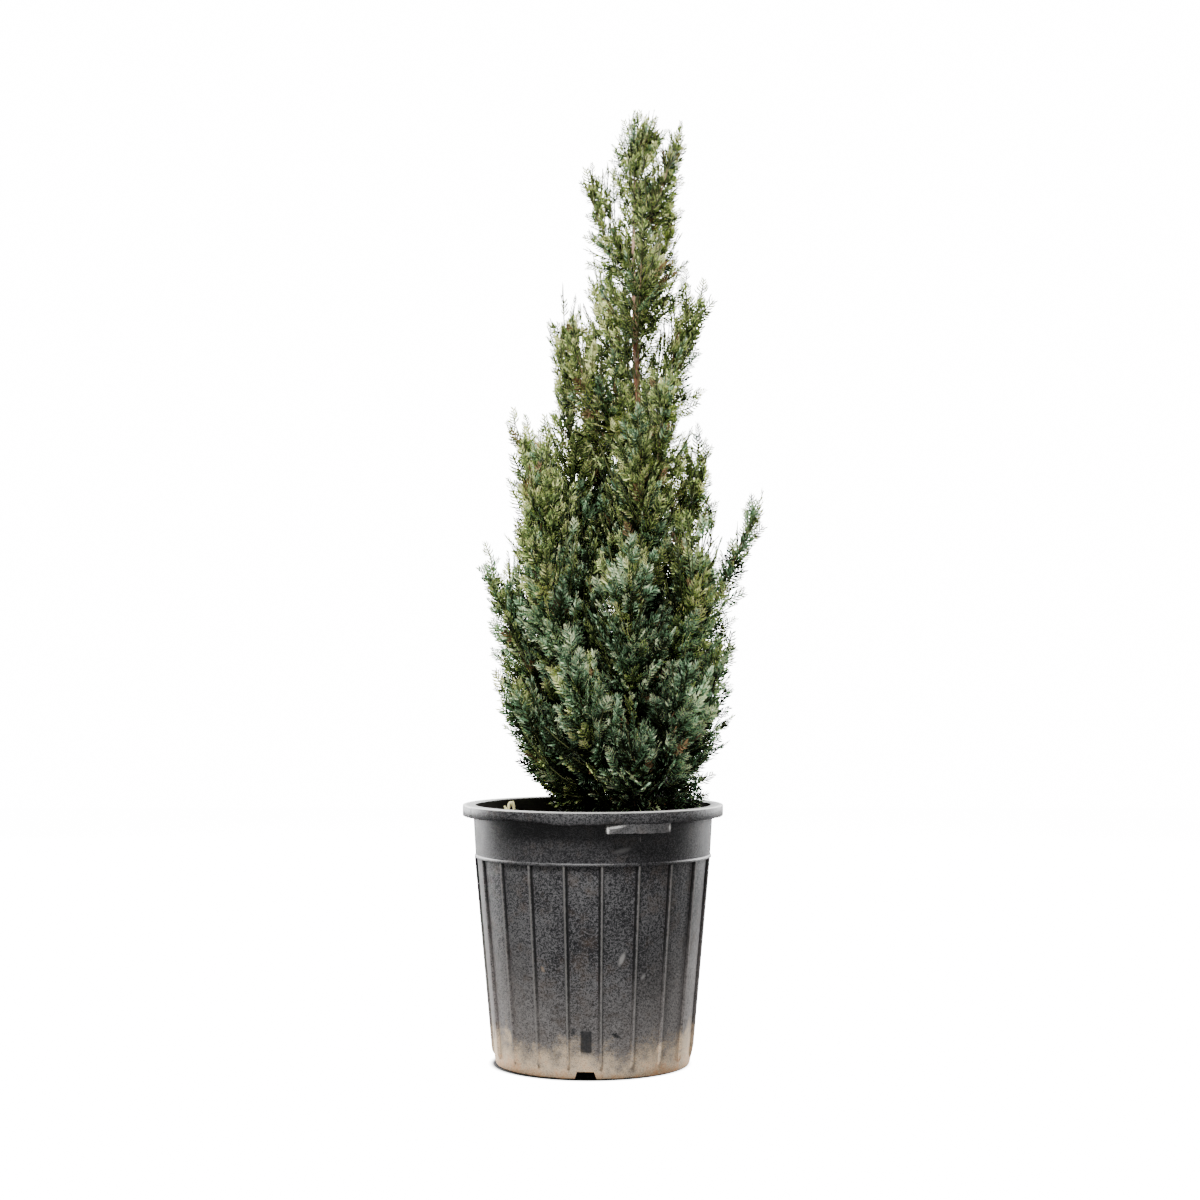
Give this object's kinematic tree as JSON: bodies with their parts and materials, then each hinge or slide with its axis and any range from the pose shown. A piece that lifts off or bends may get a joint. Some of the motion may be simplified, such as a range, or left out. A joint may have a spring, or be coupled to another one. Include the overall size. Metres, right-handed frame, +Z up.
{
  "type": "potted lawson cypress",
  "caption": "Young cone-shaped evergreen conifer with feathery upright sprays, growing in a tapered, ribbed black nursery pot.",
  "frame": {"origin": "centre of the pot's flat underside, on the floor the pot stands on", "axes": "+Z up along the pot's axis; +X to the right of the view in the picture, where the trunk stands off centre; +Y away from that view"},
  "size_m": [0.3269, 0.28, 1.0343],
  "materials": {
    "pot_plastic": "dusty matt black",
    "potting_soil": "crumbly dark brown",
    "bark": "reddish-brown bark",
    "leaves": "matt blue-green to yellow-green scale leaves"
  },
  "bodies": {
    "root": {"bough_high_1": "bark", "bough_high_2": "bark", "bough_high_3": "bark", "bough_high_4": "bark", "bough_high_5": "bark", "bough_left_leader": "bark", "bough_low_1": "bark", "bough_low_2": "bark", "bough_low_3": "bark", "bough_low_4": "bark", "bough_low_5": "bark", "bough_low_6": "bark", "bough_mid_1": "bark", "bough_mid_2": "bark", "bough_mid_3": "bark", "bough_mid_4": "bark", "bough_mid_5": "bark", "bough_mid_6": "bark", "bough_mid_7": "bark", "bough_right_bough": "bark", "foliage_high_1": "leaves", "foliage_high_2": "leaves", "foliage_high_3": "leaves", "foliage_high_4": "leaves", "foliage_high_5": "leaves", "foliage_leader": "leaves", "foliage_left_leader": "leaves", "foliage_left_twin": "leaves", "foliage_low_1": "leaves", "foliage_low_2": "leaves", "foliage_low_3": "leaves", "foliage_low_4": "leaves", "foliage_low_5": "leaves", "foliage_low_6": "leaves", "foliage_mid_1": "leaves", "foliage_mid_2": "leaves", "foliage_mid_3": "leaves", "foliage_mid_4": "leaves", "foliage_mid_5": "leaves", "foliage_mid_6": "leaves", "foliage_mid_7": "leaves", "foliage_right_bough": "leaves", "foliage_right_top": "leaves", "foliage_skirt_1": "leaves", "foliage_skirt_2": "leaves", "foliage_skirt_3": "leaves", "foliage_top_1": "leaves", "foliage_top_10": "leaves", "foliage_top_2": "leaves", "foliage_top_3": "leaves", "foliage_top_4": "leaves", "foliage_top_5": "leaves", "foliage_top_6": "leaves", "foliage_top_7": "leaves", "foliage_top_8": "leaves", "foliage_top_9": "leaves", "pot": "pot_plastic", "soil": "potting_soil", "trunk": "bark"}
  },
  "joints": []
}
